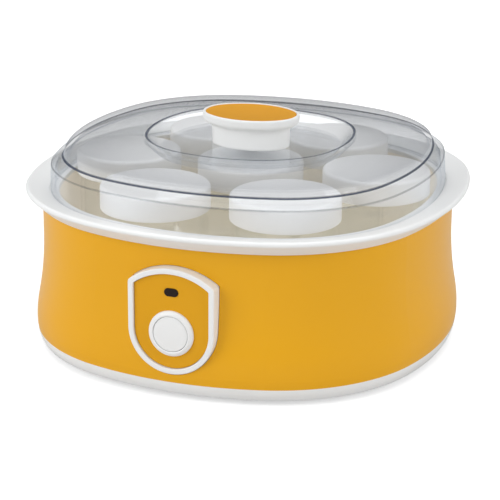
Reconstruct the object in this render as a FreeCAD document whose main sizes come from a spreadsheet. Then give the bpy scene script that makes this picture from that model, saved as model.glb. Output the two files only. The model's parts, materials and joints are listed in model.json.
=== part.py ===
# Yogurt maker: seven capped glass jars in a warmed tub, under a clear lid that lifts off.
# Millimetres, +Z up, controls towards -Y. The origin is on the table under the vertical axis.
import FreeCAD, Part
import math
import os
import re

import Sketcher

SIZES = {
    # Jars: the jar sets the size of everything round it
    "jar_radius": 29.5,
    "jar_height": 80.0,
    "jar_wall": 2.4,
    "jar_base": 4.0,
    "jar_corner": 6.0,
    "jar_neck_in": 0.9,
    "jar_neck_height": 16.0,
    "jar_neck_taper": 3.0,
    "jar_first_angle": 35.0,
    "cap_wall": 2.1,
    "cap_height": 14.0,
    "cap_top": 1.8,
    "cap_edge": 2.4,
    "cap_spacing": 13.0,
    # General fits
    "fit_gap": 0.3,
    "screw_gap": 0.1,
    # Rounded-square plan: the bow of each side, at the shell's wall, and its share of the turn
    "side_radius": 170.0,
    "side_half_angle": 17.1,
    # Tub
    "tub_clear": 1.5,
    "tub_wall": 2.2,
    "tub_draft_in": 1.5,
    "tub_corner": 4.5,
    "tub_lap": 2.0,
    "tub_boss_length": 7.8,
    "jar_recess": 0.8,
    "cap_stand": 13.2,
    "heater_room": 16.4,
    "bay_side_gap": 0.8,
    # Rim
    "seat_width": 4.9,
    "seat_rise": 3.6,
    "seat_plate": 2.5,
    "rim_width": 4.6,
    "rim_reach": 9.6,
    "rim_edge_radius": 1.6,
    "rim_edge_rise": 1.85,
    "rim_top_slope": 12.0,
    "rim_under_slope": 41.0,
    "rim_lip": 1.1,
    "rim_skirt": 2.2,
    "rim_skirt_drop": 8.0,
    # Outer shell
    "shell_wall": 2.2,
    "flare_out": 5.1,
    "flare_start": 55.7,
    "flare_toe_radius": 67.0,
    "bulge_height": 4.7,
    "shell_tuck": 0.4,
    # Feet and base pan
    "foot_height": 3.0,
    "foot_radius": 9.0,
    "foot_peg_radius": 2.5,
    "foot_x": 56.0,
    "foot_y": 92.0,
    "base_height": 7.3,
    "base_floor": 2.4,
    "base_tuck": 2.7,
    "base_curve_radius": 14.0,
    "base_lip": 2.0,
    "base_lip_height": 2.8,
    "tower_radius": 5.5,
    "tower_x": 68.0,
    "tower_y": 68.0,
    "vent_inner": 34.0,
    "vent_outer": 58.0,
    "vent_half_width": 2.5,
    "vent_count": 8,
    # Heater under the tub
    "plate_radius": 82.0,
    "plate_thickness": 1.2,
    "pad_inner": 30.0,
    "pad_margin": 4.0,
    "pad_thickness": 1.6,
    "clamp_margin": 2.0,
    "clamp_width": 16.0,
    "clamp_thickness": 1.2,
    "clamp_lug_radius": 5.0,
    "clamp_boss_radius": 4.0,
    "clamp_boss_gap": 2.0,
    "thermostat_radius": 8.0,
    "thermostat_rim": 3.0,
    "thermostat_height": 8.5,
    "fuse_radius": 2.2,
    "fuse_length": 22.0,
    # Mains entry
    "gland_boss_gap": 1.4,
    "gland_seat_out": 0.2,
    "gland_bore": 3.5,
    "gland_wall": 2.0,
    "gland_flange": 2.5,
    "gland_flange_thickness": 4.0,
    "gland_relief": 0.6,
    "gland_nut": 1.8,
    "gland_boss_depth": 4.8,
    "gland_boss_wall": 4.0,
    "terminal_x": 34.0,
    "terminal_in": 23.5,
    "terminal_length": 26.0,
    "terminal_width": 12.0,
    "terminal_height": 10.0,
    "terminal_way_radius": 2.0,
    "terminal_way_depth": 5.0,
    # Screws
    "case_screw_radius": 1.45,
    "case_screw_head": 3.2,
    "case_screw_head_height": 2.4,
    "case_screw_seat": 1.6,
    "case_screw_end_gap": 1.8,
    "small_screw_radius": 1.0,
    "small_screw_head": 2.2,
    "small_screw_head_height": 1.6,
    # Control panel, in its own plane: x to the right, y up, z outwards
    "panel_gap": 2.2,
    "panel_out": 3.25,
    "shield_half_width": 24.9,
    "shield_length": 60.3,
    "shield_top_radius": 38.9,
    "frame_band": 3.1,
    "frame_proud": 2.8,
    "frame_flank": 0.8,
    "frame_depth": 6.4,
    "frame_ledge": 1.8,
    "panel_thickness": 2.0,
    "panel_sunk": 1.6,
    "button_y": -1.5,
    "button_radius": 10.0,
    "button_proud": 1.6,
    "button_flange": 1.3,
    "button_flange_thickness": 1.5,
    "button_travel": 2.0,
    "bezel_width": 2.7,
    "bezel_proud": 2.4,
    "bezel_edge": 0.8,
    "bezel_collar": 1.3,
    "bezel_collar_depth": 5.0,
    "lens_y": 21.8,
    "lens_half_length": 4.0,
    "lens_half_height": 2.25,
    "lens_proud": 0.4,
    "board_depth": 20.4,
    "board_thickness": 1.6,
    "board_half_width": 8.0,
    "board_margin": 2.2,
    "post_radius": 2.5,
    "post_bite": 7.0,
    "switch_half_width": 7.4,
    "plunger_radius": 2.0,
    "plunger_length": 8.0,
    "lamp_radius": 2.0,
    "lamp_length": 10.2,
    # Lid
    "lid_gap": 0.5,
    "lid_wall": 2.4,
    "skirt_draft_in": 1.8,
    "shoulder_height": 16.2,
    "shoulder_side_radius": 176.0,
    "bevel_width": 8.2,
    "bevel_height": 4.7,
    "crease_side_radius": 170.0,
    "plateau_draft_in": 0.2,
    "plateau_rise": 3.9,
    "crown_height": 4.0,
    "ring_half_width": 59.4,
    "ring_side_radius": 82.0,
    "ring_crest": 0.8,
    "dish_wall_in": 7.6,
    "dish_depth": 5.2,
    # Knob, an oval that is longer from side to side
    "knob_half_length": 28.9,
    "knob_half_width": 22.0,
    "knob_end_radius": 18.3,
    "knob_neck_in": 6.0,
    "knob_cove_radius": 3.0,
    "knob_height": 17.2,
    "knob_flange": 4.2,
    "knob_edge": 1.4,
    "knob_wall": 2.4,
    "knob_boss_wall": 3.0,
    "inlay_border": 1.8,
    "inlay_depth": 1.6,
    "inlay_sunk": 0.2,
    "knob_screw_radius": 1.9,
    "knob_screw_head": 4.2,
    "knob_screw_head_height": 2.2,
    "knob_screw_length": 11.0,
}
RING_JARS = 6

document = FreeCAD.newDocument("yogurt_maker")
sheet = document.addObject("Spreadsheet::Sheet", "sizes")
for row, (alias, number) in enumerate(SIZES.items(), start=1):
    sheet.set(f"A{row}", alias)
    sheet.set(f"B{row}", str(number))
    sheet.setAlias(f"B{row}", alias)
document.recompute()
nodes = []

# Half widths of the plan, worked outwards from the jars
JAR_NECK = "(jar_radius - jar_neck_in)"
CAP_RADIUS = f"({JAR_NECK} + fit_gap + cap_wall)"
JAR_CIRCLE = f"(2 * {CAP_RADIUS} + cap_spacing)"
TUB = f"({JAR_CIRCLE} + {CAP_RADIUS} + tub_clear)"
LID = f"({TUB} + seat_width)"
SHELL = f"({LID} + rim_width)"
BULGE = f"({SHELL} + flare_out)"
# Heights, from the table up
BASE_TOP = "(foot_height + base_height)"
BASE_FLOOR_TOP = "(foot_height + base_floor)"
SCREW_SEAT = f"({BASE_FLOOR_TOP} + case_screw_seat)"
TUB_UNDER = f"({BASE_FLOOR_TOP} + heater_room)"
TUB_FLOOR = f"({TUB_UNDER} + tub_wall)"
BOSS_BOTTOM = f"({TUB_UNDER} - tub_boss_length)"
PLATE_BOTTOM = f"({TUB_UNDER} - plate_thickness)"
PAD_BOTTOM = f"({PLATE_BOTTOM} - pad_thickness)"
CLAMP_BOTTOM = f"({PAD_BOTTOM} - clamp_thickness)"
JAR_BOTTOM = f"({TUB_FLOOR} - jar_recess)"
JAR_TOP = f"({JAR_BOTTOM} + jar_height)"
SEAT = f"({JAR_TOP} + cap_top - cap_stand)"
TUB_TOP = f"({SEAT} - seat_plate)"
SHELL_TOP = f"({SEAT} - seat_rise)"
SHOULDER_Z = f"({SEAT} + shoulder_height)"
CREASE_Z = f"({SHOULDER_Z} + bevel_height)"
PLATEAU_Z = f"({CREASE_Z} + plateau_rise)"
RING_TOP = f"({PLATEAU_Z} + crown_height)"
DISH = f"({RING_TOP} - dish_depth)"
KNOB_TOP = f"({DISH} + knob_height)"
# Mains entry, at the back
GLAND_NECK = "(gland_bore + gland_wall)"
GLAND_BOSS = f"({GLAND_NECK} + gland_boss_wall)"
GLAND_Z = f"({BASE_TOP} + base_lip_height + gland_boss_gap + {GLAND_BOSS})"
GLAND_SEAT = f"({BULGE} + gland_seat_out)"
# Rows of screws and feet
CASE_SCREWS = [(f"{i} * tower_x", f"{j} * tower_y") for i in (-1, 1) for j in (-1, 1)]
FEET = [(f"{i} * foot_x", f"{j} * foot_y") for i in (-1, 1) for j in (-1, 1)]
CLAMP_CIRCLE = "(plate_radius + clamp_boss_gap + clamp_boss_radius)"
CLAMP_SCREWS = [(CLAMP_CIRCLE, "0"), ("0", CLAMP_CIRCLE),
                (f"-{CLAMP_CIRCLE}", "0"), ("0", f"-{CLAMP_CIRCLE}")]
# Control panel: where its plane stands, then distances in that plane and out of it
PANEL_Y = f"({SHELL} + panel_out)"
PANEL_Z = f"({BASE_TOP} + base_lip_height + panel_gap + shield_half_width)"
SHIELD_TOP = "(shield_length - shield_half_width)"
PANEL_FRONT = "(frame_proud - panel_sunk)"
PANEL_BACK = f"({PANEL_FRONT} - panel_thickness)"
BUTTON_FRONT = f"({PANEL_FRONT} + button_proud)"
COLLAR_BACK = f"({PANEL_FRONT} - bezel_collar_depth)"
BUTTON_STOP = f"({COLLAR_BACK} - fit_gap)"
BUTTON_BACK = f"({BUTTON_STOP} - button_flange_thickness)"
SWITCH_FRONT = f"({BUTTON_BACK} - button_travel - fit_gap)"
BOARD_FRONT = f"({PANEL_BACK} - board_depth)"
BOARD_BACK = f"({BOARD_FRONT} - board_thickness)"
BOARD_LOW = "(button_y - switch_half_width - board_margin)"
BOARD_HIGH = "(lens_y + lamp_radius + board_margin)"
POST_X = "(board_half_width - post_radius)"
POST_Y = "((button_y + switch_half_width + lens_y - lamp_radius) / 2)"
POSTS = [(f"-{POST_X}", POST_Y), (POST_X, POST_Y)]


def jar_place(k):
    """Centre of jar k as two formulas: the last jar stands in the middle of the ring."""
    if k == RING_JARS:
        return "0", "0"
    turn = f"((jar_first_angle + {k} * 360 / {RING_JARS}) * 1 deg)"
    return f"{JAR_CIRCLE} * sin({turn})", f"-{JAR_CIRCLE} * cos({turn})"


def sized(formula):
    """A formula with each size's name pointing at its cell."""
    return re.sub(r"[a-z_]+", lambda m: f"sizes.{m[0]}" if m[0] in SIZES else m[0], formula)


def value(formula):
    result = sheet.evalExpression(sized(formula))
    return float(getattr(result, "Value", result))


def bind(thing, name, formula):
    thing.setExpression(name, sized(formula))


def new_body(name):
    body = document.addObject("PartDesign::Body", name)
    body.AllowCompound = True
    nodes.append(body)
    return body


def place(body, x="0", y="0", z="0", turn="0"):
    """Sets where a body stands: a turn about X, then the position."""
    about_x = FreeCAD.Rotation(FreeCAD.Vector(1, 0, 0), value(turn))
    body.Placement = FreeCAD.Placement(FreeCAD.Vector(), about_x)
    for axis, formula in zip("xyz", (x, y, z)):
        bind(body, f"Placement.Base.{axis}", formula)


def new_sketch(body, name, role="XY_Plane", lift="0"):
    sketch = body.newObject("Sketcher::SketchObject", f"{body.Name}_{name}")
    plane = next(item for item in body.Origin.OriginFeatures if item.Role == role)
    sketch.AttachmentSupport = [(plane, "")]
    sketch.MapMode = "FlatFace"
    bind(sketch, "AttachmentOffset.Base.z", lift)
    return sketch


def pin(sketch, geometry, point, x, y):
    """Holds a point of the sketch at two formulas."""
    for kind, formula, axis in (("DistanceX", x, -2), ("DistanceY", y, -1)):
        if formula == "0":
            sketch.addConstraint(Sketcher.Constraint("PointOnObject", geometry, point, axis))
            continue
        index = sketch.addConstraint(Sketcher.Constraint(kind, -1, 1, geometry, point, value(formula)))
        bind(sketch, f"Constraints[{index}]", formula)


def arc_between(start, end, radius, turn):
    """The short arc from start to end; turn is 1 counter-clockwise and -1 clockwise."""
    chord = end - start
    rise = math.sqrt(max(radius ** 2 - (chord.Length / 2) ** 2, 0.0))
    across = FreeCAD.Vector(-chord.y, chord.x, 0).normalize()
    centre = (start + end) * 0.5 + across * (rise * turn)
    first, last = (start, end) if turn > 0 else (end, start)
    angles = [math.atan2(p.y - centre.y, p.x - centre.x) for p in (first, last)]
    return Part.ArcOfCircle(Part.Circle(centre, FreeCAD.Vector(0, 0, 1), radius), *angles)


def outline(sketch, corners):
    """A closed outline. A corner is (x, y), or (x, y, radius, turn) where an arc leaves it."""
    first = sketch.GeometryCount
    count = len(corners)
    spots = [FreeCAD.Vector(value(c[0]), value(c[1]), 0) for c in corners]
    heads = []
    for i, corner in enumerate(corners):
        here, there = spots[i], spots[(i + 1) % count]
        if len(corner) == 2:
            sketch.addGeometry(Part.LineSegment(here, there))
            heads.append(1)
        else:
            sketch.addGeometry(arc_between(here, there, value(corner[2]), corner[3]))
            heads.append(1 if corner[3] > 0 else 2)
    for i in range(count):
        j = (i + 1) % count
        sketch.addConstraint(Sketcher.Constraint("Coincident", first + i, 3 - heads[i], first + j, heads[j]))
    for i, corner in enumerate(corners):
        pin(sketch, first + i, heads[i], corner[0], corner[1])
        if len(corner) > 2:
            index = sketch.addConstraint(Sketcher.Constraint("Radius", first + i, value(corner[2])))
            bind(sketch, f"Constraints[{index}]", corner[2])
    return sketch


def circles(sketch, centres, radius):
    for x, y in centres:
        middle = FreeCAD.Vector(value(x), value(y), 0)
        index = sketch.addGeometry(Part.Circle(middle, FreeCAD.Vector(0, 0, 1), value(radius)))
        pin(sketch, index, 3, x, y)
        size = sketch.addConstraint(Sketcher.Constraint("Radius", index, value(radius)))
        bind(sketch, f"Constraints[{size}]", radius)
    return sketch


def rectangle(sketch, x0, x1, y0, y1):
    return outline(sketch, [(x0, y0), (x1, y0), (x1, y1), (x0, y1)])


def rounded_square(sketch, half_width, side_radius=None):
    """Four bowed sides and four corners, tangent. Without side_radius it is parallel to the shell's wall."""
    side = side_radius or f"(side_radius + {half_width} - {SHELL})"
    set_back = f"({side} - {half_width})"
    sine, cosine = "sin(side_half_angle * 1 deg)", "cos(side_half_angle * 1 deg)"
    corner = f"({side} - {set_back} / ({cosine} - {sine}))"
    near, far = f"({side} * {sine})", f"({side} * {cosine} - {set_back})"
    return outline(sketch, [
        (far, f"-{near}", side, 1), (far, near, corner, 1),
        (near, far, side, 1), (f"-{near}", far, corner, 1),
        (f"-{far}", near, side, 1), (f"-{far}", f"-{near}", corner, 1),
        (f"-{near}", f"-{far}", side, 1), (near, f"-{far}", corner, 1)])


def shield(sketch, inset):
    """The control panel's outline: an arched top, upright sides and a round bottom, drawn in by inset."""
    half = f"(shield_half_width - {inset})"
    top = f"(shield_top_radius - {inset})"
    centre = f"({SHIELD_TOP} - shield_top_radius)"
    corner_y = f"({centre} + sqrt({top} ^ 2 - {half} ^ 2))"
    return outline(sketch, [
        ("0", f"-{half}", half, 1), (half, "0"), (half, corner_y, top, 1), (f"-{half}", corner_y),
        (f"-{half}", "0", half, 1)])


def oval(sketch, inset):
    """The knob's outline: two round ends and two bowed sides, tangent, drawn in by inset."""
    end, width = f"(knob_end_radius - {inset})", f"(knob_half_width - {inset})"
    # The ends are centred reach from the middle, and the sides drop beyond it
    reach, spare = "(knob_half_length - knob_end_radius)", "(knob_half_width - knob_end_radius)"
    drop = f"(({reach} ^ 2 - {spare} ^ 2) / (2 * {spare}))"
    span, side = f"({spare} + {drop})", f"({width} + {drop})"
    x, y = f"({reach} + {end} * {reach} / {span})", f"({end} * {drop} / {span})"
    return outline(sketch, [
        (x, f"-{y}", end, 1), (x, y, side, 1), (f"-{x}", y, end, 1), (f"-{x}", f"-{y}", side, 1)])


def dress(body, kind, name, wanted, size):
    """A fillet or a chamfer on those edges of the body's last feature whose boxes are wanted."""
    last = body.Tip
    edges = [f"Edge{i}" for i, edge in enumerate(last.Shape.Edges, start=1) if wanted(edge.BoundBox)]
    feature = body.newObject(f"PartDesign::{kind}", f"{body.Name}_{name}")
    feature.Base = (last, edges)
    bind(feature, "Radius" if kind == "Fillet" else "Size", size)
    document.recompute()


def solid_feature(body, kind, sketch, length, backwards=False):
    before = body.Shape.Volume if body.Tip else 0.0
    feature = body.newObject(f"PartDesign::{kind}", f"{sketch.Name}_{kind.lower()}")
    feature.Profile = sketch
    bind(feature, "Length", length)
    feature.Reversed = backwards
    document.recompute()
    change = body.Shape.Volume - before
    if (change if kind == "Pad" else -change) <= 0:
        raise RuntimeError(f"{feature.Name} changed nothing")
    return feature


def pad(body, sketch, length, backwards=False):
    return solid_feature(body, "Pad", sketch, length, backwards)


def pocket(body, sketch, length, backwards=False):
    return solid_feature(body, "Pocket", sketch, length, backwards)


def studs(body, name, centres, radius, foot, length):
    """Round posts that stand on the height foot."""
    return pad(body, circles(new_sketch(body, name, lift=foot), centres, radius), length)


def holes(body, name, centres, radius, mouth, depth):
    """Round holes from the height mouth downwards."""
    return pocket(body, circles(new_sketch(body, name, lift=mouth), centres, radius), depth)


def turned(body, name, corners):
    """A revolved section about the body's upright axis."""
    sketch = outline(new_sketch(body, name, "XZ_Plane"), corners)
    feature = body.newObject("PartDesign::Revolution", f"{sketch.Name}_turn")
    feature.Profile = sketch
    feature.ReferenceAxis = (sketch, ["V_Axis"])
    feature.Angle = 360
    document.recompute()
    return feature


def swept_ring(body, name, corners):
    """A section carried round the rounded-square plan of the shell's wall."""
    path = rounded_square(new_sketch(body, f"{name}_path"), SHELL)
    section = outline(new_sketch(body, name, "XZ_Plane"), corners)
    feature = body.newObject("PartDesign::AdditivePipe", f"{section.Name}_sweep")
    feature.Profile = section
    feature.Spine = path
    document.recompute()
    return feature


def ruled_loft(body, name, sections, cut=False):
    """Straight walls between rounded squares, each given as (half width, height, side radius or None)."""
    sketches = [rounded_square(new_sketch(body, f"{name}_{i}", lift=height), half, side)
                for i, (half, height, side) in enumerate(sections)]
    kind = "SubtractiveLoft" if cut else "AdditiveLoft"
    feature = body.newObject(f"PartDesign::{kind}", f"{body.Name}_{name}")
    feature.Profile = sketches[0]
    feature.Sections = sketches[1:]
    feature.Ruled = True
    document.recompute()
    return feature


def outer_shell():
    body = new_body("outer_shell")
    inner, bulge_in = f"({SHELL} - shell_wall)", f"({BULGE} - shell_wall)"
    start, bulge_z = f"({BASE_TOP} + flare_start)", f"({BASE_TOP} + bulge_height)"
    rise = "(flare_start - bulge_height)"
    # Two tangent arcs, hollow above and full below, carry the wall out to the bulge
    share = f"(2 * flare_out / ({rise} ^ 2 + flare_out ^ 2))"
    sine, drop = f"({rise} * {share})", f"(flare_out * {share})"
    hollow = f"(1 / {share} - flare_toe_radius)"
    joint_x = f"({BULGE} - flare_toe_radius * {drop})"
    joint_z = f"({bulge_z} + flare_toe_radius * {sine})"
    inner_x = f"({joint_x} - shell_wall * (1 - {drop}))"
    inner_z = f"({joint_z} - shell_wall * {sine})"
    tuck_radius = "((bulge_height ^ 2 + shell_tuck ^ 2) / (2 * shell_tuck))"
    swept_ring(body, "wall", [
        (SHELL, SHELL_TOP), (SHELL, start, hollow, 1), (joint_x, joint_z, "flare_toe_radius", -1),
        (BULGE, bulge_z, tuck_radius, -1), (f"{BULGE} - shell_tuck", BASE_TOP), (bulge_in, BASE_TOP),
        (bulge_in, bulge_z, "flare_toe_radius - shell_wall", 1),
        (inner_x, inner_z, f"{hollow} + shell_wall", -1), (inner, start), (inner, SHELL_TOP)])
    boss = circles(new_sketch(body, "gland_boss", "XZ_Plane", f"-{GLAND_SEAT}"), [("0", GLAND_Z)], GLAND_BOSS)
    pad(body, boss, "gland_boss_depth")
    hole = circles(new_sketch(body, "gland_hole", "XZ_Plane", f"-{GLAND_SEAT}"), [("0", GLAND_Z)],
                   f"{GLAND_NECK} + screw_gap")
    pocket(body, hole, "gland_boss_depth + shell_wall", backwards=True)
    opening = new_sketch(body, "control_opening", "XZ_Plane", f"{PANEL_Y} + frame_proud")
    bind(opening, "AttachmentOffset.Base.y", PANEL_Z)
    shield(opening, "(0 - fit_gap)")
    pocket(body, opening, "frame_proud + frame_depth + shell_wall")


def top_rim():
    body = new_body("top_rim")
    skirt = f"({SHELL} - shell_wall - fit_gap)"
    outside = f"({SHELL} + fit_gap)"
    lid_out = f"({LID} + lid_gap)"
    edge_x = f"({SHELL} + rim_reach - rim_edge_radius)"
    edge_z = f"({SEAT} + rim_edge_rise)"
    top_x = f"({edge_x} - rim_edge_radius * sin(rim_top_slope * 1 deg))"
    top_z = f"({edge_z} + rim_edge_radius * cos(rim_top_slope * 1 deg))"
    under_x = f"({edge_x} + rim_edge_radius * sin(rim_under_slope * 1 deg))"
    under_z = f"({edge_z} - rim_edge_radius * cos(rim_under_slope * 1 deg))"
    step_z = f"({top_z} - ({top_x} - {lid_out}) * tan(rim_top_slope * 1 deg))"
    lip_z = f"({under_z} - ({under_x} - {outside} - rim_lip) * tan(rim_under_slope * 1 deg))"
    swept_ring(body, "collar", [
        (TUB, SEAT), (lid_out, SEAT), (lid_out, step_z), (top_x, top_z, "rim_edge_radius", -1),
        (under_x, under_z), (f"{outside} + rim_lip", lip_z), (outside, lip_z), (outside, SHELL_TOP),
        (skirt, SHELL_TOP), (skirt, f"{SHELL_TOP} - rim_skirt_drop"),
        (f"{skirt} - rim_skirt", f"{SHELL_TOP} - rim_skirt_drop"), (f"{skirt} - rim_skirt", TUB_TOP),
        (TUB, TUB_TOP)])


def inner_tub():
    body = new_body("inner_tub")
    foot = f"({TUB} - tub_draft_in)"
    flange = f"({SHELL} - shell_wall - rim_skirt - 2 * fit_gap)"
    turn_in = f"({foot} - tub_corner)"
    swept_ring(body, "wall", [
        (TUB, TUB_TOP), (flange, TUB_TOP), (flange, f"{TUB_TOP} - tub_wall"),
        (f"{TUB} + tub_wall", f"{TUB_TOP} - tub_wall"),
        (f"{foot} + tub_wall", f"{TUB_FLOOR} + tub_corner", "tub_corner + tub_wall", -1),
        (turn_in, TUB_UNDER), (f"{turn_in} - tub_lap", TUB_UNDER), (f"{turn_in} - tub_lap", TUB_FLOOR),
        (turn_in, TUB_FLOOR, "tub_corner", 1), (foot, f"{TUB_FLOOR} + tub_corner")])
    pad(body, rounded_square(new_sketch(body, "floor", lift=TUB_UNDER), turn_in), "tub_wall")
    # A bay in the front wall, open outwards and below, clears the switch, its board and the screw heads
    half = "(board_half_width + bay_side_gap)"
    heads = f"({PANEL_Y} + {BOARD_BACK} - small_screw_head_height)"
    back = f"({heads} - fit_gap)"
    height = f"({PANEL_Z} + {BOARD_HIGH} + fit_gap - {TUB_UNDER})"
    bay = rectangle(new_sketch(body, "bay", lift=TUB_UNDER), f"-{half} - tub_wall", f"{half} + tub_wall",
                    f"-{foot} - tub_wall / 2", f"tub_wall - {back}")
    pad(body, bay, f"{height} + tub_wall")
    inside = rectangle(new_sketch(body, "bay_inside", lift=TUB_UNDER), f"-{half}", half,
                       f"-{TUB} - 2 * tub_wall", f"-{back}")
    pocket(body, inside, height, backwards=True)
    studs(body, "screw_bosses", CASE_SCREWS, "tower_radius", BOSS_BOTTOM, "tub_boss_length")
    studs(body, "clamp_bosses", CLAMP_SCREWS, "clamp_boss_radius", PAD_BOTTOM,
          "plate_thickness + pad_thickness")
    holes(body, "screw_holes", CASE_SCREWS, "case_screw_radius + screw_gap", TUB_UNDER, "tub_boss_length")
    holes(body, "clamp_holes", CLAMP_SCREWS, "small_screw_radius + screw_gap", TUB_UNDER,
          "plate_thickness + pad_thickness")
    holes(body, "jar_seats", [jar_place(k) for k in range(RING_JARS + 1)], "jar_radius + fit_gap", TUB_FLOOR,
          "jar_recess")


def base_pan():
    body = new_body("base_pan")
    edge = f"({BULGE} - shell_tuck)"
    lip = f"({BULGE} - shell_wall - fit_gap)"
    floor_in = f"({edge} - base_tuck - foot_radius)"
    swept_ring(body, "wall", [
        (edge, BASE_TOP, "base_curve_radius", -1), (f"{edge} - base_tuck", "foot_height"),
        (floor_in, "foot_height"), (floor_in, BASE_FLOOR_TOP), (f"{lip} - base_lip", BASE_FLOOR_TOP),
        (f"{lip} - base_lip", f"{BASE_TOP} + base_lip_height"), (lip, f"{BASE_TOP} + base_lip_height"),
        (lip, BASE_TOP)])
    pad(body, rounded_square(new_sketch(body, "floor", lift="foot_height"), f"({floor_in} + base_lip)"),
        "base_floor")
    studs(body, "towers", CASE_SCREWS, "tower_radius", "foot_height", f"{BOSS_BOTTOM} - foot_height")
    holes(body, "head_holes", CASE_SCREWS, "case_screw_head + fit_gap", SCREW_SEAT,
          f"{SCREW_SEAT} - foot_height")
    holes(body, "screw_holes", CASE_SCREWS, "case_screw_radius + screw_gap", BOSS_BOTTOM,
          f"{BOSS_BOTTOM} - foot_height")
    holes(body, "foot_holes", FEET, "foot_peg_radius + screw_gap", BASE_FLOOR_TOP, "base_floor")
    end, side = "vent_outer", "vent_half_width"
    slot = outline(new_sketch(body, "vent", lift=BASE_FLOOR_TOP), [
        ("vent_inner", f"-{side}"), (end, f"-{side}", side, 1), (f"{end} + {side}", "0", side, 1),
        (end, side), ("vent_inner", side, side, 1), (f"vent_inner - {side}", "0", side, 1)])
    vent = pocket(body, slot, "base_floor")
    pattern = body.newObject("PartDesign::PolarPattern", "base_pan_vents")
    pattern.Originals = [vent]
    pattern.Axis = (slot, ["N_Axis"])
    pattern.Angle = 360
    bind(pattern, "Occurrences", "vent_count")
    body.Tip = pattern
    document.recompute()


def rubber_feet():
    body = new_body("rubber_feet")
    studs(body, "pads", FEET, "foot_radius", "0", "foot_height")
    studs(body, "pegs", FEET, "foot_peg_radius", "foot_height", "base_floor")


def screw_set(name, centres, radius, head_radius, head_height, seat, length):
    """Screws that go in upwards, heads below the height seat."""
    body = new_body(name)
    studs(body, "heads", centres, head_radius, f"{seat} - {head_height}", head_height)
    studs(body, "shanks", centres, radius, seat, length)
    return body


def small_screws(name, centres, seat, length):
    return screw_set(name, centres, "small_screw_radius", "small_screw_head", "small_screw_head_height",
                     seat, length)


def heater():
    middle = [("0", "0")]
    pad_outer = "(plate_radius - pad_margin)"
    clamp_outer = f"({pad_outer} - clamp_margin)"
    clamp_inner = f"({clamp_outer} - clamp_width)"
    plate = new_body("heater_plate")
    studs(plate, "disc", middle, "plate_radius", PLATE_BOTTOM, "plate_thickness")

    element = new_body("heater_pad")
    studs(element, "disc", middle, pad_outer, PAD_BOTTOM, "pad_thickness")
    holes(element, "middle", middle, "pad_inner", PLATE_BOTTOM, "pad_thickness")

    clamp = new_body("heater_clamp")
    studs(clamp, "ring", middle, clamp_outer, CLAMP_BOTTOM, "clamp_thickness")
    half = "clamp_lug_radius"
    for k, (x, y) in enumerate(CLAMP_SCREWS):
        spread_x = ("0", x) if y == "0" else (f"-{half}", half)
        spread_y = ("0", y) if x == "0" else (f"-{half}", half)
        arm = rectangle(new_sketch(clamp, f"arm_{k}", lift=CLAMP_BOTTOM), *spread_x, *spread_y)
        pad(clamp, arm, "clamp_thickness")
    studs(clamp, "lugs", CLAMP_SCREWS, half, CLAMP_BOTTOM, "clamp_thickness")
    holes(clamp, "middle", middle, clamp_inner, PAD_BOTTOM, "clamp_thickness")
    holes(clamp, "screw_holes", CLAMP_SCREWS, "small_screw_radius + screw_gap", PAD_BOTTOM, "clamp_thickness")

    small_screws("heater_screws", CLAMP_SCREWS, CLAMP_BOTTOM,
                 "clamp_thickness + pad_thickness + plate_thickness")

    thermostat = new_body("thermostat")
    bottom, rim_z = f"({PLATE_BOTTOM} - thermostat_height)", f"({PLATE_BOTTOM} - plate_thickness)"
    rim = "(thermostat_radius + thermostat_rim)"
    turned(thermostat, "case", [
        ("0", bottom), ("thermostat_radius", bottom), ("thermostat_radius", rim_z), (rim, rim_z),
        (rim, PLATE_BOTTOM), ("0", PLATE_BOTTOM)])

    fuse = new_body("thermal_fuse")
    tube = circles(new_sketch(fuse, "tube", "YZ_Plane", "fuse_length / -2"),
                   [(f"(pad_inner + {clamp_inner}) / -2", f"{PAD_BOTTOM} - fuse_radius - screw_gap")],
                   "fuse_radius")
    pad(fuse, tube, "fuse_length")


def mains_entry():
    gland = new_body("cord_gland")
    nut = "(0 - gland_boss_depth)"
    nut_back = f"({nut} - gland_flange_thickness)"
    nut_radius, flange = f"({GLAND_NECK} + gland_nut)", f"({GLAND_NECK} + gland_flange)"
    # Only the flange grips the cord; further in the way is wider
    relief = "(gland_bore + gland_relief)"
    turned(gland, "bush", [
        (relief, nut_back), (nut_radius, nut_back), (nut_radius, nut), (GLAND_NECK, nut), (GLAND_NECK, "0"),
        (flange, "0"), (flange, "gland_flange_thickness / 2"), (GLAND_NECK, "gland_flange_thickness"),
        ("gland_bore", "gland_flange_thickness"), ("gland_bore", "gland_relief"), (relief, "0")])
    place(gland, y=GLAND_SEAT, z=GLAND_Z, turn="-90")

    block = new_body("terminal_block")
    x, y = "terminal_x", f"({TUB} - terminal_in)"
    box = rectangle(new_sketch(block, "body", lift=BASE_FLOOR_TOP), f"{x} - terminal_length / 2",
                    f"{x} + terminal_length / 2", f"{y} - terminal_width / 2", f"{y} + terminal_width / 2")
    pad(block, box, "terminal_height")
    ways = [(f"{x} + {k} * terminal_length / 4", y) for k in (-1, 1)]
    holes(block, "clamp_ways", ways, "terminal_way_radius", f"{BASE_FLOOR_TOP} + terminal_height",
          "terminal_way_depth")


def place_on_panel(body):
    """Stands a body, made in the panel's own plane, upright on the front of the shell."""
    place(body, y=f"-{PANEL_Y}", z=PANEL_Z, turn="90")


def control_frame():
    body = new_body("control_frame")
    place_on_panel(body)
    back = shield(new_sketch(body, "block", lift="0 - frame_depth"), "0")
    pad(body, back, "frame_depth + frame_proud")
    dress(body, "Chamfer", "flank", lambda box: box.ZMin > value("frame_proud - screw_gap"), "frame_flank")
    pocket(body, shield(new_sketch(body, "rebate", lift="frame_proud"), "frame_band"),
           f"frame_proud - {PANEL_BACK}")
    pocket(body, shield(new_sketch(body, "window", lift=PANEL_BACK), "(frame_band + frame_ledge)"),
           f"{PANEL_BACK} + frame_depth")


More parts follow.
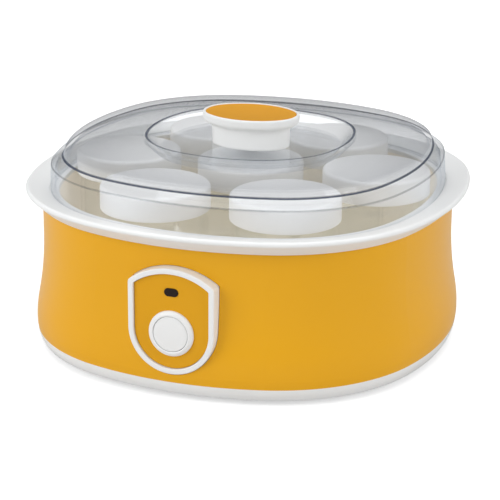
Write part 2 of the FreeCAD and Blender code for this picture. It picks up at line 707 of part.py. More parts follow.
def control_panel():
    body = new_body("control_panel")
    place_on_panel(body)
    pad(body, shield(new_sketch(body, "plate", lift=PANEL_BACK), "(frame_band + fit_gap)"), "panel_thickness")
    holes(body, "button_hole", [("0", "button_y")], "button_radius + fit_gap + bezel_collar + screw_gap",
          PANEL_FRONT, "panel_thickness")
    slot = lens_outline(new_sketch(body, "lens_hole", lift=PANEL_FRONT), "screw_gap")
    pocket(body, slot, "panel_thickness")
    studs(body, "posts", POSTS, "post_radius", BOARD_FRONT, "board_depth")
    holes(body, "post_holes", POSTS, "small_screw_radius + screw_gap", f"{BOARD_FRONT} + post_bite + fit_gap",
          "post_bite + fit_gap")


def lens_outline(sketch, gap):
    """The indicator's oval: a bar with round ends, widened by gap."""
    end, half = "(lens_half_length - lens_half_height)", f"(lens_half_height + {gap})"
    low, high = f"lens_y - {half}", f"lens_y + {half}"
    return outline(sketch, [
        (f"-{end}", low), (end, low, half, 1), (f"{end} + {half}", "lens_y", half, 1), (end, high),
        (f"-{end}", high, half, 1), (f"-{end} - {half}", "lens_y", half, 1)])


def place_on_button(body):
    """As place_on_panel, with the body's own axis through the middle of the button."""
    place(body, y=f"-{PANEL_Y}", z=f"{PANEL_Z} + button_y", turn="90")


def push_button():
    bore = "(button_radius + fit_gap)"
    rim = f"({bore} + bezel_width)"
    bezel = new_body("button_bezel")
    place_on_button(bezel)
    turned(bezel, "ring", [
        (bore, COLLAR_BACK), (f"{bore} + bezel_collar", COLLAR_BACK), (f"{bore} + bezel_collar", PANEL_FRONT),
        (rim, PANEL_FRONT), (rim, f"{PANEL_FRONT} + bezel_edge"),
        (f"{bore} + bezel_edge", f"{PANEL_FRONT} + bezel_proud"), (bore, f"{PANEL_FRONT} + bezel_proud")])

    button = new_body("power_button")
    place_on_button(button)
    flange = "button_radius + button_flange"
    crown = "(button_radius ^ 2 / (2 * bezel_edge) + bezel_edge / 2)"
    turned(button, "cap", [
        ("0", BUTTON_BACK), (flange, BUTTON_BACK), (flange, BUTTON_STOP), ("button_radius", BUTTON_STOP),
        ("button_radius", f"{BUTTON_FRONT} - bezel_edge", crown, 1), ("0", BUTTON_FRONT)])

    plunger = new_body("switch_plunger")
    place_on_button(plunger)
    studs(plunger, "rod", [("0", "0")], "plunger_radius", f"{BUTTON_BACK} - plunger_length", "plunger_length")

    switch = new_body("switch_block")
    place_on_button(switch)
    half = "switch_half_width"
    pad(switch, rectangle(new_sketch(switch, "case", lift=BOARD_FRONT), f"-{half}", half, f"-{half}", half),
        f"{SWITCH_FRONT} - {BOARD_FRONT}")
    holes(switch, "plunger_bore", [("0", "0")], "plunger_radius + fit_gap", SWITCH_FRONT, "plunger_length")


def control_board():
    board = new_body("control_board")
    place_on_panel(board)
    card = rectangle(new_sketch(board, "board", lift=BOARD_BACK), "-board_half_width", "board_half_width",
                     BOARD_LOW, BOARD_HIGH)
    pad(board, card, "board_thickness")
    holes(board, "screw_holes", POSTS, "small_screw_radius + screw_gap", BOARD_FRONT, "board_thickness")

    place_on_panel(small_screws("board_screws", POSTS, BOARD_BACK, "board_thickness + post_bite"))

    lamp = new_body("indicator_lamp")
    place_on_panel(lamp)
    studs(lamp, "bulb", [("0", "lens_y")], "lamp_radius", BOARD_FRONT, "lamp_length")

    lens = new_body("indicator_lens")
    place_on_panel(lens)
    back = f"({BOARD_FRONT} + lamp_length + screw_gap)"
    pad(lens, lens_outline(new_sketch(lens, "pipe", lift=back), "0"), f"{PANEL_FRONT} + lens_proud - {back}")


def lid():
    body = new_body("lid_dome")
    shoulder = f"({LID} - skirt_draft_in)"
    crease = f"({shoulder} - bevel_width)"
    plateau = f"({crease} - plateau_draft_in)"
    dish, dish_side = "(ring_half_width - dish_wall_in)", "(ring_side_radius - dish_wall_in)"
    ruled_loft(body, "outside", [
        (LID, SEAT, None), (shoulder, SHOULDER_Z, "shoulder_side_radius"),
        (crease, CREASE_Z, "crease_side_radius"), (plateau, PLATEAU_Z, None),
        ("ring_half_width", RING_TOP, "ring_side_radius")])
    ruled_loft(body, "inside", [
        (f"({LID} - lid_wall)", SEAT, None),
        (f"({shoulder} - lid_wall)", f"{SHOULDER_Z} - lid_wall / 2", "(shoulder_side_radius - lid_wall)"),
        (f"({crease} - lid_wall)", f"{CREASE_Z} - lid_wall / 2", "(crease_side_radius - lid_wall)"),
        (f"({plateau} - lid_wall)", f"{PLATEAU_Z} - lid_wall", None),
        ("ring_half_width", f"{RING_TOP} - lid_wall", "ring_side_radius")], cut=True)
    # The middle is a shallow dish, so its underside hangs below the crown
    ruled_loft(body, "dish_under", [
        (f"({dish} + lid_wall)", f"{DISH} - lid_wall", f"({dish_side} + lid_wall)"),
        ("(ring_half_width + lid_wall)", f"{RING_TOP} - lid_wall", "(ring_side_radius + lid_wall)")])
    ruled_loft(body, "dish", [
        ("(ring_half_width - ring_crest)", RING_TOP, "(ring_side_radius - ring_crest)"),
        (dish, DISH, dish_side)], cut=True)
    holes(body, "knob_hole", [("0", "0")], "knob_screw_radius + screw_gap", DISH, "lid_wall")


def knob():
    body = new_body("knob_body")
    middle = [("0", "0")]
    under = f"({KNOB_TOP} - knob_flange)"
    recess = f"({KNOB_TOP} - inlay_depth)"
    pad(body, oval(new_sketch(body, "flange", lift=under), "0"), "knob_flange")
    dress(body, "Fillet", "edge", lambda box: box.ZLength < value("screw_gap"), "knob_edge")
    pad(body, oval(new_sketch(body, "neck", lift=DISH), "knob_neck_in"), f"{under} - {DISH}")
    corner_x = value("knob_half_length - knob_neck_in + screw_gap")
    dress(body, "Fillet", "cove", lambda box: abs(box.ZMin - value(under)) + box.ZLength < value("screw_gap")
          and max(box.XMax, -box.XMin) < corner_x, "knob_cove_radius")
    pocket(body, oval(new_sketch(body, "recess", lift=KNOB_TOP), "(inlay_border - screw_gap)"), "inlay_depth")
    depth = f"({recess} - knob_wall - {DISH})"
    pocket(body, oval(new_sketch(body, "hollow", lift=DISH), "(knob_neck_in + knob_wall)"), depth,
           backwards=True)
    studs(body, "boss", middle, "knob_screw_radius + screw_gap + knob_boss_wall", DISH, depth)
    holes(body, "screw_hole", middle, "knob_screw_radius + screw_gap", f"{DISH} + knob_screw_length",
          "knob_screw_length")

    inlay = new_body("knob_cap")
    pad(inlay, oval(new_sketch(inlay, "disc", lift=recess), "inlay_border"), "inlay_depth - inlay_sunk")

    screw_set("knob_screw", middle, "knob_screw_radius", "knob_screw_head", "knob_screw_head_height",
              f"({DISH} - lid_wall)", "lid_wall + knob_screw_length - fit_gap")


def jar(k):
    x, y = jar_place(k)
    body = new_body(f"jar_{k + 1}")
    place(body, x, y, JAR_BOTTOM)
    inner, mouth = "(jar_radius - jar_wall)", f"({JAR_NECK} - jar_wall)"
    neck_start = "(jar_height - jar_neck_height)"
    shoulder = f"({neck_start} - jar_neck_taper)"
    turned(body, "glass", [
        ("0", "0"), ("jar_radius - jar_corner", "0", "jar_corner", 1), ("jar_radius", "jar_corner"),
        ("jar_radius", shoulder), (JAR_NECK, neck_start), (JAR_NECK, "jar_height"),
        (mouth, "jar_height"), (mouth, neck_start), (inner, shoulder),
        (inner, "jar_base + jar_corner", "jar_corner", -1), (f"{inner} - jar_corner", "jar_base"),
        ("0", "jar_base")])

    cap = new_body(f"jar_cap_{k + 1}")
    place(cap, x, y, f"{JAR_TOP} + cap_top - cap_height")
    bore = f"({JAR_NECK} + fit_gap)"
    turned(cap, "cap", [
        (bore, "0"), (CAP_RADIUS, "0"), (CAP_RADIUS, "cap_height - cap_edge", "cap_edge", 1),
        (f"{CAP_RADIUS} - cap_edge", "cap_height"), ("0", "cap_height"), ("0", "cap_height - cap_top"),
        (bore, "cap_height - cap_top")])


def build():
    outer_shell()
    top_rim()
    inner_tub()
    base_pan()
    rubber_feet()
    screw_set("base_screws", CASE_SCREWS, "case_screw_radius", "case_screw_head", "case_screw_head_height",
              SCREW_SEAT, f"{TUB_UNDER} - {SCREW_SEAT} - case_screw_end_gap")
    heater()
    mains_entry()
    control_frame()
    control_panel()
    push_button()
    control_board()
    lid()
    knob()
    for k in range(RING_JARS + 1):
        jar(k)


def write_parts():
    document.recompute()
    failed = [item.Name for item in document.Objects if {"Invalid", "Error"} & set(item.State)]
    failed += [body.Label for body in nodes if body.Shape.isNull() or not body.Shape.isValid()]
    if failed:
        raise RuntimeError("failed: " + ", ".join(failed))
    os.makedirs("parts", exist_ok=True)
    for body in nodes:
        body.Shape.exportStep(f"parts/{body.Label}.step")
        print(body.Label, len(body.Shape.Solids), "solids", round(body.Shape.Volume / 1000, 2), "cm3")


build()
write_parts()
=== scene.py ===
import json
import math

import bmesh
import bpy
import numpy as np
from mathutils import Matrix, Vector


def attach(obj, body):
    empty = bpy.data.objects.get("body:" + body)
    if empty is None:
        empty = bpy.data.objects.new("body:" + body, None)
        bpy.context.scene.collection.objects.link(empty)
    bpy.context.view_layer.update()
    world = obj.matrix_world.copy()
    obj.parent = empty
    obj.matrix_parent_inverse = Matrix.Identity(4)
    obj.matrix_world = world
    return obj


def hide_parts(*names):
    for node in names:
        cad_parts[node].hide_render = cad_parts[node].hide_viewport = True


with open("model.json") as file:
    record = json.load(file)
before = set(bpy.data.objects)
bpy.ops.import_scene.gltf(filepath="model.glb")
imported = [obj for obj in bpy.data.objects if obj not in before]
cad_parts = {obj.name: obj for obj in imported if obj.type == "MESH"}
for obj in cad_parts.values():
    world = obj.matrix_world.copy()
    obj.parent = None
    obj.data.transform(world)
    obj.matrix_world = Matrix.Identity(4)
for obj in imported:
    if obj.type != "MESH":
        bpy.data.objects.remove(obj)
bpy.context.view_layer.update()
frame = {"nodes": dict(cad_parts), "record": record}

nodes = frame["nodes"]
mm = 0.001
weldReach = 1e-7         # metres
print("frame loaded:", len(nodes), "nodes")


class Wire:
    # One output socket of a node. Arithmetic on it adds Math nodes, and node() adds any other node.
    def __init__(self, socket):
        self.socket = socket

    def node(self, kind, settings=None, inputs=None, out=0):
        made = self.socket.id_data.nodes.new(kind)
        for key, value in (settings or {}).items():
            setattr(made, key, value)
        for key, value in (inputs or {}).items():
            self.feed(made.inputs[key], value)
        return Wire(made.outputs[out])

    def feed(self, target, value):
        if isinstance(value, Wire):
            self.socket.id_data.links.new(value.socket, target)
        else:
            target.default_value = value

    def math(self, operation, first, second=0.0, clamp=False):
        settings = {"operation": operation, "use_clamp": clamp}
        return self.node("ShaderNodeMath", settings, {0: first, 1: second})

    def __add__(self, other):
        return self.math("ADD", self, other)

    def __sub__(self, other):
        return self.math("SUBTRACT", self, other)

    def __rsub__(self, other):
        return self.math("SUBTRACT", other, self)

    def __mul__(self, other):
        return self.math("MULTIPLY", self, other)

    __radd__, __rmul__ = __add__, __mul__

    def clamp(self):
        return self.math("ADD", self, 0.0, clamp=True)

    def blend(self, low, high):
        # A colour that goes from low to high as this value goes from 0 to 1
        return self.node("ShaderNodeMix", {"data_type": "RGBA"}, {0: self, 6: low, 7: high}, out=2)

    def noise(self, scale, detail=2.0):
        inputs = {"Vector": self, "Scale": scale, "Detail": detail}
        return self.node("ShaderNodeTexNoise", {}, inputs, out="Fac")

    def bump(self, height, depth):
        return self.node("ShaderNodeBump", {}, {"Height": height, "Distance": depth, "Strength": 1.0})


def rgb(red, green, blue):
    # Colour as read off a screen, 0 to 255, in the linear values that shaders take
    parts = [c / 255 for c in (red, green, blue)]
    return tuple(c / 12.92 if c <= 0.04045 else ((c + 0.055) / 1.055) ** 2.4 for c in parts) + (1.0,)


def newMaterial(name):
    material = bpy.data.materials.new(name)
    material.use_nodes = True
    tree = material.node_tree
    place = Wire(tree.nodes.new("ShaderNodeTexCoord").outputs["Object"])
    return material, tree.nodes["Principled BSDF"], place


moulding = {
    "driftScale": 9.0, "driftContrast": 1.6,        # slow change of the colour over a piece
    "grainDetail": 3.0,
    "roughnessSpread": 0.06,
    "coatRoughness": 0.08,
}


def moulded(name, colour, shade, roughness, grain, coat=0.0, specular=0.5, metallic=0.0):
    # Moulded plastic or plain metal: the colour drifts towards shade over the piece, and the roughness
    # and a fine bump follow the grain, which is given as its scale and its height in metres
    material, shader, place = newMaterial(name)
    scale, height = grain
    contrast, spread = moulding["driftContrast"], moulding["roughnessSpread"]
    slow, fine = place.noise(moulding["driftScale"]), place.noise(scale, moulding["grainDetail"])
    drift = (slow * contrast - (contrast - 1) / 2).clamp()
    place.feed(shader.inputs["Base Color"], drift.blend(rgb(*shade), rgb(*colour)))
    place.feed(shader.inputs["Roughness"], roughness - spread / 2 + fine * spread)
    place.feed(shader.inputs["Normal"], place.bump(fine, height))
    shader.inputs["Metallic"].default_value = metallic
    shader.inputs["Specular IOR Level"].default_value = specular
    shader.inputs["Coat Weight"].default_value = coat
    shader.inputs["Coat Roughness"].default_value = moulding["coatRoughness"]
    return material


clearLook = {
    "headOn": 0.04, "power": 5.0,       # share that is mirrored square on, and how fast it grows
    "roughness": 0.02, "roughnessSpread": 0.05,
    "grainScale": 200.0, "grainDetail": 3.0,
    "edgeSpecular": 0.1,
}


def clearMoulding(name, tint, mirror, edge):
    # Thin see-through moulding or glass: what is behind shows straight through. Reflections take over as
    # the view grazes it, by headOn + (1 - headOn) (1 - cos)^power. Along sharp edges, marked by the
    # attribute line, the colour edge is painted shade that stands in for the dark lines light makes
    # there as it bends in the plastic.
    material, shader, place = newMaterial(name)
    headOn = clearLook["headOn"]
    facing = place.node("ShaderNodeLayerWeight", {}, {"Blend": 0.5}, out="Facing")      # 1 - cos
    shine = headOn + (1 - headOn) * place.math("POWER", facing, clearLook["power"])
    fine = place.noise(clearLook["grainScale"], clearLook["grainDetail"])
    rough = clearLook["roughness"] + fine * clearLook["roughnessSpread"]
    through = place.node("ShaderNodeBsdfTransparent", {}, {"Color": tint})
    gloss = place.node("ShaderNodeBsdfGlossy", {}, {"Color": mirror, "Roughness": rough})
    clear = place.node("ShaderNodeMixShader", {}, {0: shine, 1: through, 2: gloss})
    line = place.node("ShaderNodeAttribute", {"attribute_name": "line"}, out="Fac")
    shader.inputs["Base Color"].default_value = rgb(*edge)
    shader.inputs["Specular IOR Level"].default_value = clearLook["edgeSpecular"]
    # Painted shade mixed in where the line attribute marks a sharp edge
    paintedEdges = place.node("ShaderNodeMixShader", {}, {0: line, 1: clear, 2: Wire(shader.outputs[0])})
    place.feed(material.node_tree.nodes["Material Output"].inputs["Surface"], paintedEdges)
    return material


camera = {
    "azimuth": 20.15,       # degrees round from the front, towards +X
    "distance": 1.0246,     # metres from the upright axis, on the level
    "height": 0.3923,
    "pitch": 0.3242,        # radians below the level
    "roll": 0.0081,
    "lens": 130.7,          # millimetres, on a sensor this wide
    "sensor": 36.0,
    "clip": (0.05, 50.0),
}


def setCamera():
    data = bpy.data.cameras.new("photoCamera")
    data.lens, data.sensor_width = camera["lens"], camera["sensor"]
    data.clip_start, data.clip_end = camera["clip"]
    eye = bpy.data.objects.new("photoCamera", data)
    turn, away = math.radians(camera["azimuth"]), camera["distance"]
    place = Matrix.Translation((away * math.sin(turn), -away * math.cos(turn), camera["height"]))
    tilt = Matrix.Rotation(math.pi / 2 - camera["pitch"], 4, "X")
    roll = Matrix.Rotation(camera["roll"], 4, "Z")
    eye.matrix_world = place @ Matrix.Rotation(turn, 4, "Z") @ tilt @ roll
    bpy.context.scene.collection.objects.link(eye)
    bpy.context.scene.camera = eye


setCamera()
print("camera set")

stage = {
    "floorSize": 12.0,                  # metres
    "floorShade": 0.7, "floorRoughness": 0.9,
    "floorGlow": 0.52,                  # for the camera alone
    "worldLight": 0.5,
    "worldMirrored": (0.15, 0.7),       # as reflections see it, at the horizon and high up
    "clearLayers": 32,                  # enough for the lid and two jars, both ways
    "aim": (0.0, 0.0, 0.06),            # where the softboxes point
    "softboxes": {                      # place in metres, size in metres, watts
        "left": ((-1.2, -1.4, 1.0), (1.2, 1.4), 18.5),
        "right": ((1.9, -0.4, 1.0), (1.0, 1.4), 14.0),
        "top": ((0.0, 0.1, 1.9), (1.8, 1.4), 13.5),
    },
}


def lightStage():
    scene = bpy.context.scene
    scene.view_settings.view_transform = "Standard"
    scene.cycles.transparent_max_bounces = stage["clearLayers"]
    world = bpy.data.worlds.new("studio")
    scene.world = world
    world.use_nodes = True
    back = world.node_tree.nodes["Background"]
    path = world.node_tree.nodes.new("ShaderNodeLightPath")
    seen, mirrored = Wire(path.outputs["Is Camera Ray"]), Wire(path.outputs["Is Glossy Ray"])
    # Reflections see a room that is dim at the horizon and brighter higher up: the height of the
    # direction, within limits
    ray = seen.node("ShaderNodeTexCoord", out="Generated")
    rise = seen.node("ShaderNodeSeparateXYZ", {}, {0: ray}, out="Z")
    dim, bright = stage["worldMirrored"]
    room = seen.math("MINIMUM", seen.math("MAXIMUM", rise, dim), bright)
    strength = stage["worldLight"]
    back.inputs["Color"].default_value = (1, 1, 1, 1)
    seen.feed(back.inputs["Strength"], strength + seen * (1.0 - strength) + mirrored * (room - strength))
    for name, (place, size, watts) in stage["softboxes"].items():
        data = bpy.data.lights.new(name, "AREA")
        data.shape = "RECTANGLE"
        data.size, data.size_y = size
        data.energy = watts
        lamp = bpy.data.objects.new(name, data)
        lamp.location = place
        lamp.rotation_euler = (Vector(stage["aim"]) - Vector(place)).to_track_quat("-Z", "Y").to_euler()
        scene.collection.objects.link(lamp)


def layFloor():
    half, shade = stage["floorSize"] / 2, stage["floorShade"]
    corners = [(-half, -half, 0), (half, -half, 0), (half, half, 0), (-half, half, 0)]
    mesh = bpy.data.meshes.new("floor")
    mesh.from_pydata(corners, [], [(0, 1, 2, 3)])
    floor = bpy.data.objects.new("floor", mesh)
    bpy.context.scene.collection.objects.link(floor)
    material, shader, place = newMaterial("paleFloor")
    shader.inputs["Base Color"].default_value = (shade, shade, shade, 1)
    shader.inputs["Roughness"].default_value = stage["floorRoughness"]
    shader.inputs["Specular IOR Level"].default_value = 0.0
    shader.inputs["Emission Color"].default_value = (1, 1, 1, 1)
    seen = place.node("ShaderNodeLightPath", out="Is Camera Ray")
    place.feed(shader.inputs["Emission Strength"], seen * stage["floorGlow"])
    mesh.materials.append(material)


lightStage()
layFloor()
print("stage lit")

# Colour, shade, roughness and grain, then coat and specular where they aren't the usual ones
finishes = {
    "body_yellow": moulded("yellowGloss", (232, 170, 20), (229, 166, 17), 0.32, (420.0, 4e-6), 0.06, 0.25),
    "panel_yellow": moulded("yellowPanel", (224, 162, 22), (220, 158, 19), 0.36, (420.0, 4e-6), 0.0, 0.2),
    "white_plastic": moulded("whiteGloss", (237, 238, 238), (234, 235, 235), 0.34, (420.0, 4e-6),
                             0.0, 0.35),
    "cap_white": moulded("capWhite", (247, 247, 246), (244, 244, 243), 0.45, (800.0, 1e-5)),
    "tub_plastic": moulded("tubTan", (229, 222, 208), (225, 217, 202), 0.5, (700.0, 1e-5), 0.0, 0.3),
    "foot_rubber": moulded("footRubber", (196, 196, 196), (188, 188, 188), 0.8, (1400.0, 3e-5)),
    "screw_steel": moulded("screwSteel", (176, 178, 180), (164, 166, 170), 0.35, (1500.0, 1e-5),
                           metallic=1.0),
    "plate_aluminium": moulded("plateAluminium", (205, 206, 208), (196, 198, 200), 0.4, (900.0, 1e-5),
                               metallic=1.0),
    "heater_silicone": moulded("heaterSilicone", (176, 84, 52), (164, 76, 46), 0.7, (1200.0, 3e-5)),
    "inner_black": moulded("innerBlack", (40, 40, 42), (34, 34, 36), 0.5, (1200.0, 2e-5)),
    "gland_grey": moulded("glandGrey", (120, 120, 122), (112, 112, 114), 0.55, (1200.0, 2e-5)),
    "board_green": moulded("boardGreen", (52, 112, 74), (44, 100, 64), 0.35, (500.0, 1e-5)),
    "lens_dark": moulded("lensDark", (40, 30, 27), (34, 26, 24), 0.3, (300.0, 4e-6), 0.0, 0.15),
    "knob_orange": moulded("knobOrange", (220, 154, 8), (216, 150, 6), 0.25, (420.0, 4e-6), 0.0, 0.15),
    # The last colour of each clear finish is painted shade, drawn where the line attribute marks a sharp
    # edge
    "lid_clear": clearMoulding("lidClear", (0.985, 0.988, 0.992, 1), (0.78, 0.81, 0.85, 1), (58, 66, 84)),
    "jar_glass": clearMoulding("jarGlass", (0.985, 0.988, 0.985, 1), (0.95, 0.95, 0.94, 1), (90, 100, 96)),
}
# The tub glows with painted light, so that it stays bright between the jars where the caps shade it
tubPaintedLight = {"colour": (222, 214, 201), "strength": 0.26}
tubShader = finishes["tub_plastic"].node_tree.nodes["Principled BSDF"]
tubShader.inputs["Emission Color"].default_value = rgb(*tubPaintedLight["colour"])
tubShader.inputs["Emission Strength"].default_value = tubPaintedLight["strength"]


def dressNodes():
    slots = {part["node"]: part["material_slot"] for part in frame["record"]["subparts"]}
    for name, piece in nodes.items():
        piece.data.materials.clear()
        piece.data.materials.append(finishes[slots[name]])


dressNodes()
print("materials set")


def softRows(rows, reach, steps=6):
    # A closed profile with its corners eased. The line leaves a corner p at a, reach before it, and meets
    # the next run at b, reach after it, by (1 - t)^2 a + 2t(1 - t) p + t^2 b. Columns past the second go
    # along with them.
    rows, reach = np.asarray(rows, float), np.asarray(reach, float)
    mostOfRun = 0.48        # so that two corners on one run don't meet

    def towards(other):
        run = other - rows
        length = np.maximum(np.hypot(run[:, 0], run[:, 1]), 1e-9)
        return rows + run * (np.minimum(reach, mostOfRun * length) / length)[:, None]

    a, b = towards(np.roll(rows, 1, 0)), towards(np.roll(rows, -1, 0))
    t = np.linspace(0, 1, steps)[None, :, None]
    curve = (1 - t) ** 2 * a[:, None] + 2 * t * (1 - t) * rows[:, None] + t ** 2 * b[:, None]
    return curve.reshape(-1, rows.shape[1])


def fillRows(rows, step):
    # More rows on the straight runs of a closed profile: each is cut into equal parts no longer than step
    after = np.roll(rows, -1, 0)
    count = np.maximum(np.ceil(np.hypot(*(after - rows)[:, :2].T) / step).astype(int), 1)
    start = np.repeat(np.arange(len(rows)), count)
    share = (np.arange(count.sum()) - np.repeat(np.cumsum(count) - count, count)) / np.repeat(count, count)
    return rows[start] + (after[start] - rows[start]) * share[:, None]


plan = {
    "half": 117.0, "side": 170.0,       # half width of the shell's wall and the radius of its sides there
    "sideTurn": 17.1,                   # degrees from the middle of a side to its corner
    "points": 240,
}


def squareLoops(half, side):
    # The rounded-square plan, one row of points for each half width. At the outward direction w, within
    # sideTurn of an axis, a point is side * (cos w, sin w), drawn back by side - half along that axis.
    # Between, it is corner * (cos w, sin w) from a centre on the diagonal, tangent to both sides.
    sideTurn = math.radians(plan["sideTurn"])
    half, side = half[:, None], side[:, None]
    w = np.arange(plan["points"]) * 2 * math.pi / plan["points"]
    quarter = np.round(w / (math.pi / 2))
    f = (w - quarter * math.pi / 2)[None, :]
    back = side - half
    corner = side - back / (math.cos(sideTurn) - math.sin(sideTurn))
    centre = (side - corner) * math.sin(sideTurn)
    onSide = np.abs(f) <= sideTurn
    x = np.where(onSide, side * np.cos(f) - back, centre + corner * np.cos(f))
    y = np.where(onSide, side * np.sin(f), np.sign(f) * centre + corner * np.sin(f))
    cosine, sine = np.cos(quarter * math.pi / 2), np.sin(quarter * math.pi / 2)
    return np.stack([x * cosine - y * sine, x * sine + y * cosine], -1)


def wallSide(half):
    # Radius of the sides where the plan is parallel to the shell's wall
    return plan["side"] + half - plan["half"]


def lifted(loops, heights):
    # Loops in a level plane, each at its own height
    level = np.broadcast_to(np.asarray(heights, float)[:, None, None], loops.shape[:2] + (1,))
    return np.concatenate([loops, level], -1)


def spun(profile, centre, count):
    # A profile of (radius, height) turned about an upright axis: centre + radius * (cos w, sin w)
    w = np.arange(count) * 2 * math.pi / count
    ring = np.stack([np.cos(w), np.sin(w)], -1)
    return lifted(profile[:, 0][:, None, None] * ring[None] + np.asarray(centre), profile[:, 1])


def gridPiece(name, grid, body, slot, node, line=None):
    # A closed surface from a grid of points in millimetres: rows run round the section and columns round
    # the path. Points that fall together, as at a pole, become one. line says for each row how much
    # painted shade of a sharp edge it gets.
    rows, columns = grid.shape[:2]
    index = np.arange(rows * columns).reshape(rows, columns)
    right = np.roll(index, -1, 1)
    quads = np.stack([index, right, np.roll(right, -1, 0), np.roll(index, -1, 0)], -1).reshape(-1, 4)
    mesh = bpy.data.meshes.new(name)
    mesh.from_pydata((grid.reshape(-1, 3) * mm).tolist(), [], quads.tolist())
    if line is not None:
        mesh.attributes.new("line", "FLOAT", "POINT").data.foreach_set("value", np.repeat(line, columns))
    work = bmesh.new()
    work.from_mesh(mesh)
    bmesh.ops.remove_doubles(work, verts=work.verts, dist=weldReach)
    bmesh.ops.recalc_face_normals(work, faces=work.faces)
    work.to_mesh(mesh)
    work.free()
    mesh.shade_smooth()
    mesh.materials.append(finishes[slot])
    piece = bpy.data.objects.new(name, mesh)
    bpy.context.scene.collection.objects.link(piece)
    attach(piece, body)
    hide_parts(node)


lid = {
    # half width, height, radius of the sides (None where parallel to the wall), share of painted edge
    # shade, and how far the corner is eased
    "outside": [
        (112.4, 91.85, None, 0, 0.7), (110.9, 107.0, 175.9, 0, 0.05), (110.8, 108.0, 176.0, 0.5, 0.4),
        (110.1, 108.46, 175.5, 0, 0.05), (104.5, 112.1, 171.4, 0, 0.05), (104.0, 112.43, 171.1, 1, 0.1),
        (103.6, 112.7, 170.8, 1, 0.3), (103.5, 113.6, 168.0, 0.1, 0.05), (103.1, 116.9, None, 0.2, 0.9),
        (60.3, 120.4, 82.9, 0, 0.05), (59.5, 120.7, 82.1, 0.95, 0.3), (58.9, 120.6, 81.5, 0.95, 0.3),
        (58.3, 120.0, 80.9, 0, 0.05), (51.8, 113.42, 74.4, 0, 0.8), (2.0, 113.42, 2.0, 0, 0.05)],
    "inside": [
        (2.0, 111.0, 2.0, 0, 0.05), (53.4, 111.0, 76.0, 0, 0.8), (60.4, 118.1, 83.0, 0, 0.6),
        (100.7, 114.5, None, 0, 0.9), (101.2, 111.4, 168.4, 0, 0.5), (108.4, 106.8, 173.6, 0, 1.0),
        (110.0, 91.85, None, 0, 0.7)],
    "step": 2.0,
}


def makeLid():
    rows = np.array([(half, z, side or wallSide(half), line, reach)
                     for half, z, side, line, reach in lid["outside"] + lid["inside"]])
    half, z, side, line = fillRows(softRows(rows[:, :4], rows[:, 4]), lid["step"]).T
    gridPiece("clearLid", lifted(squareLoops(half, side), z), "lid", "lid_clear", "lid_dome", line)


rim = {
    "edge": (125.0, 93.65, 1.6),        # middle of the rounded edge, and its radius
    "edgePoints": 9, "edgeEase": 0.1,
    "topSlope": 12.0,                   # degrees
    "underSlope": 41.0,
    "lip": 118.4,                       # half width where the underside ends
    # half width, height, how far the corner is eased: the lid's seat, and the part inside the shell
    "seat": [(107.5, 91.8, 0.4), (112.9, 91.8, 0.2)],
    "skirt": [(117.3, 88.2, 0.1), (114.5, 88.2, 0.1), (114.5, 80.2, 0.4), (112.3, 80.2, 0.4),
              (112.3, 89.3, 0.1), (107.5, 89.3, 0.4)],
    "stepEase": 0.5, "lipEase": 0.5, "shellEase": 0.3,
    "cornerPoints": 5,
    "step": 1.6,
}


def makeRim():
    x, z, r = rim["edge"]
    top, under = math.radians(rim["topSlope"]), math.radians(rim["underSlope"])
    # The edge's arc as directions from its middle, from the top's normal round to the underside's
    w = np.linspace(math.pi / 2 + top, under - math.pi / 2, rim["edgePoints"])
    edge = np.stack([x + r * np.cos(w), z + r * np.sin(w), np.full(len(w), rim["edgeEase"])], -1)
    # The top slopes down to a step at the lid's seat, and the underside down to the lip on the shell
    stepX, lipX, shellX = rim["seat"][-1][0], rim["lip"], rim["skirt"][0][0]
    stepZ = edge[0, 1] - (edge[0, 0] - stepX) * math.tan(top)
    lipZ = edge[-1, 1] - (edge[-1, 0] - lipX) * math.tan(under)
    step = [(stepX, stepZ, rim["stepEase"])]
    lip = [(lipX, lipZ, rim["lipEase"]), (shellX, lipZ, rim["shellEase"])]
    rows = np.concatenate([rim["seat"], step, edge, lip, rim["skirt"]])
    half, z = fillRows(softRows(rows[:, :2], rows[:, 2], rim["cornerPoints"]), rim["step"]).T
    loops = squareLoops(half, wallSide(half))
    gridPiece("whiteRim", lifted(loops, z), "base", "white_plastic", "top_rim")


knob = {
    "halfLength": 28.9, "halfWidth": 22.0, "endRadius": 18.3,
    # inset from the outline, height, share of the way out from the middle, how far the corner is eased
    "body": [(5.8, 113.45, 1.0, 0.4), (5.4, 125.8, 1.0, 2.4), (0.4, 127.2, 1.0, 2.2),
             (0.0, 132.6, 1.0, 1.5), (1.72, 132.6, 1.0, 0.3), (1.72, 131.02, 1.0, 0.1),
             (1.72, 131.02, 0.0, 0.0), (5.8, 113.45, 0.0, 0.0)],
    "inlay": [(1.8, 131.05, 1.0, 0.1), (1.8, 132.4, 1.0, 0.35)],
    "inlayDish": 0.7, "inlayRings": 13, "inlayEase": 0.1,
    "points": 160, "cornerPoints": 8, "inlayCornerPoints": 4,
    "step": 1.2,
}


def ovalLoops(inset, share):
    # Two round ends, centred reach from the middle, and two bowed sides, centred drop beyond it. At the
    # outward direction w a point is its arc's centre + its radius * (cos w, sin w), and share draws the
    # loop in to the middle.
    reach, spare = knob["halfLength"] - knob["endRadius"], knob["halfWidth"] - knob["endRadius"]
    drop = (reach ** 2 - spare ** 2) / (2 * spare)
    w = (np.arange(knob["points"]) * 2 * math.pi / knob["points"])[None, :]
    onEnd = np.abs(np.sin(w)) * reach <= np.abs(np.cos(w)) * drop
    end = knob["endRadius"] - inset[:, None]
    side = knob["halfWidth"] + drop - inset[:, None]
    x = np.where(onEnd, np.sign(np.cos(w)) * reach + end * np.cos(w), side * np.cos(w))
    y = np.where(onEnd, end * np.sin(w), side * np.sin(w) - np.sign(np.sin(w)) * drop)
    return np.stack([x, y], -1) * share[:, None, None]


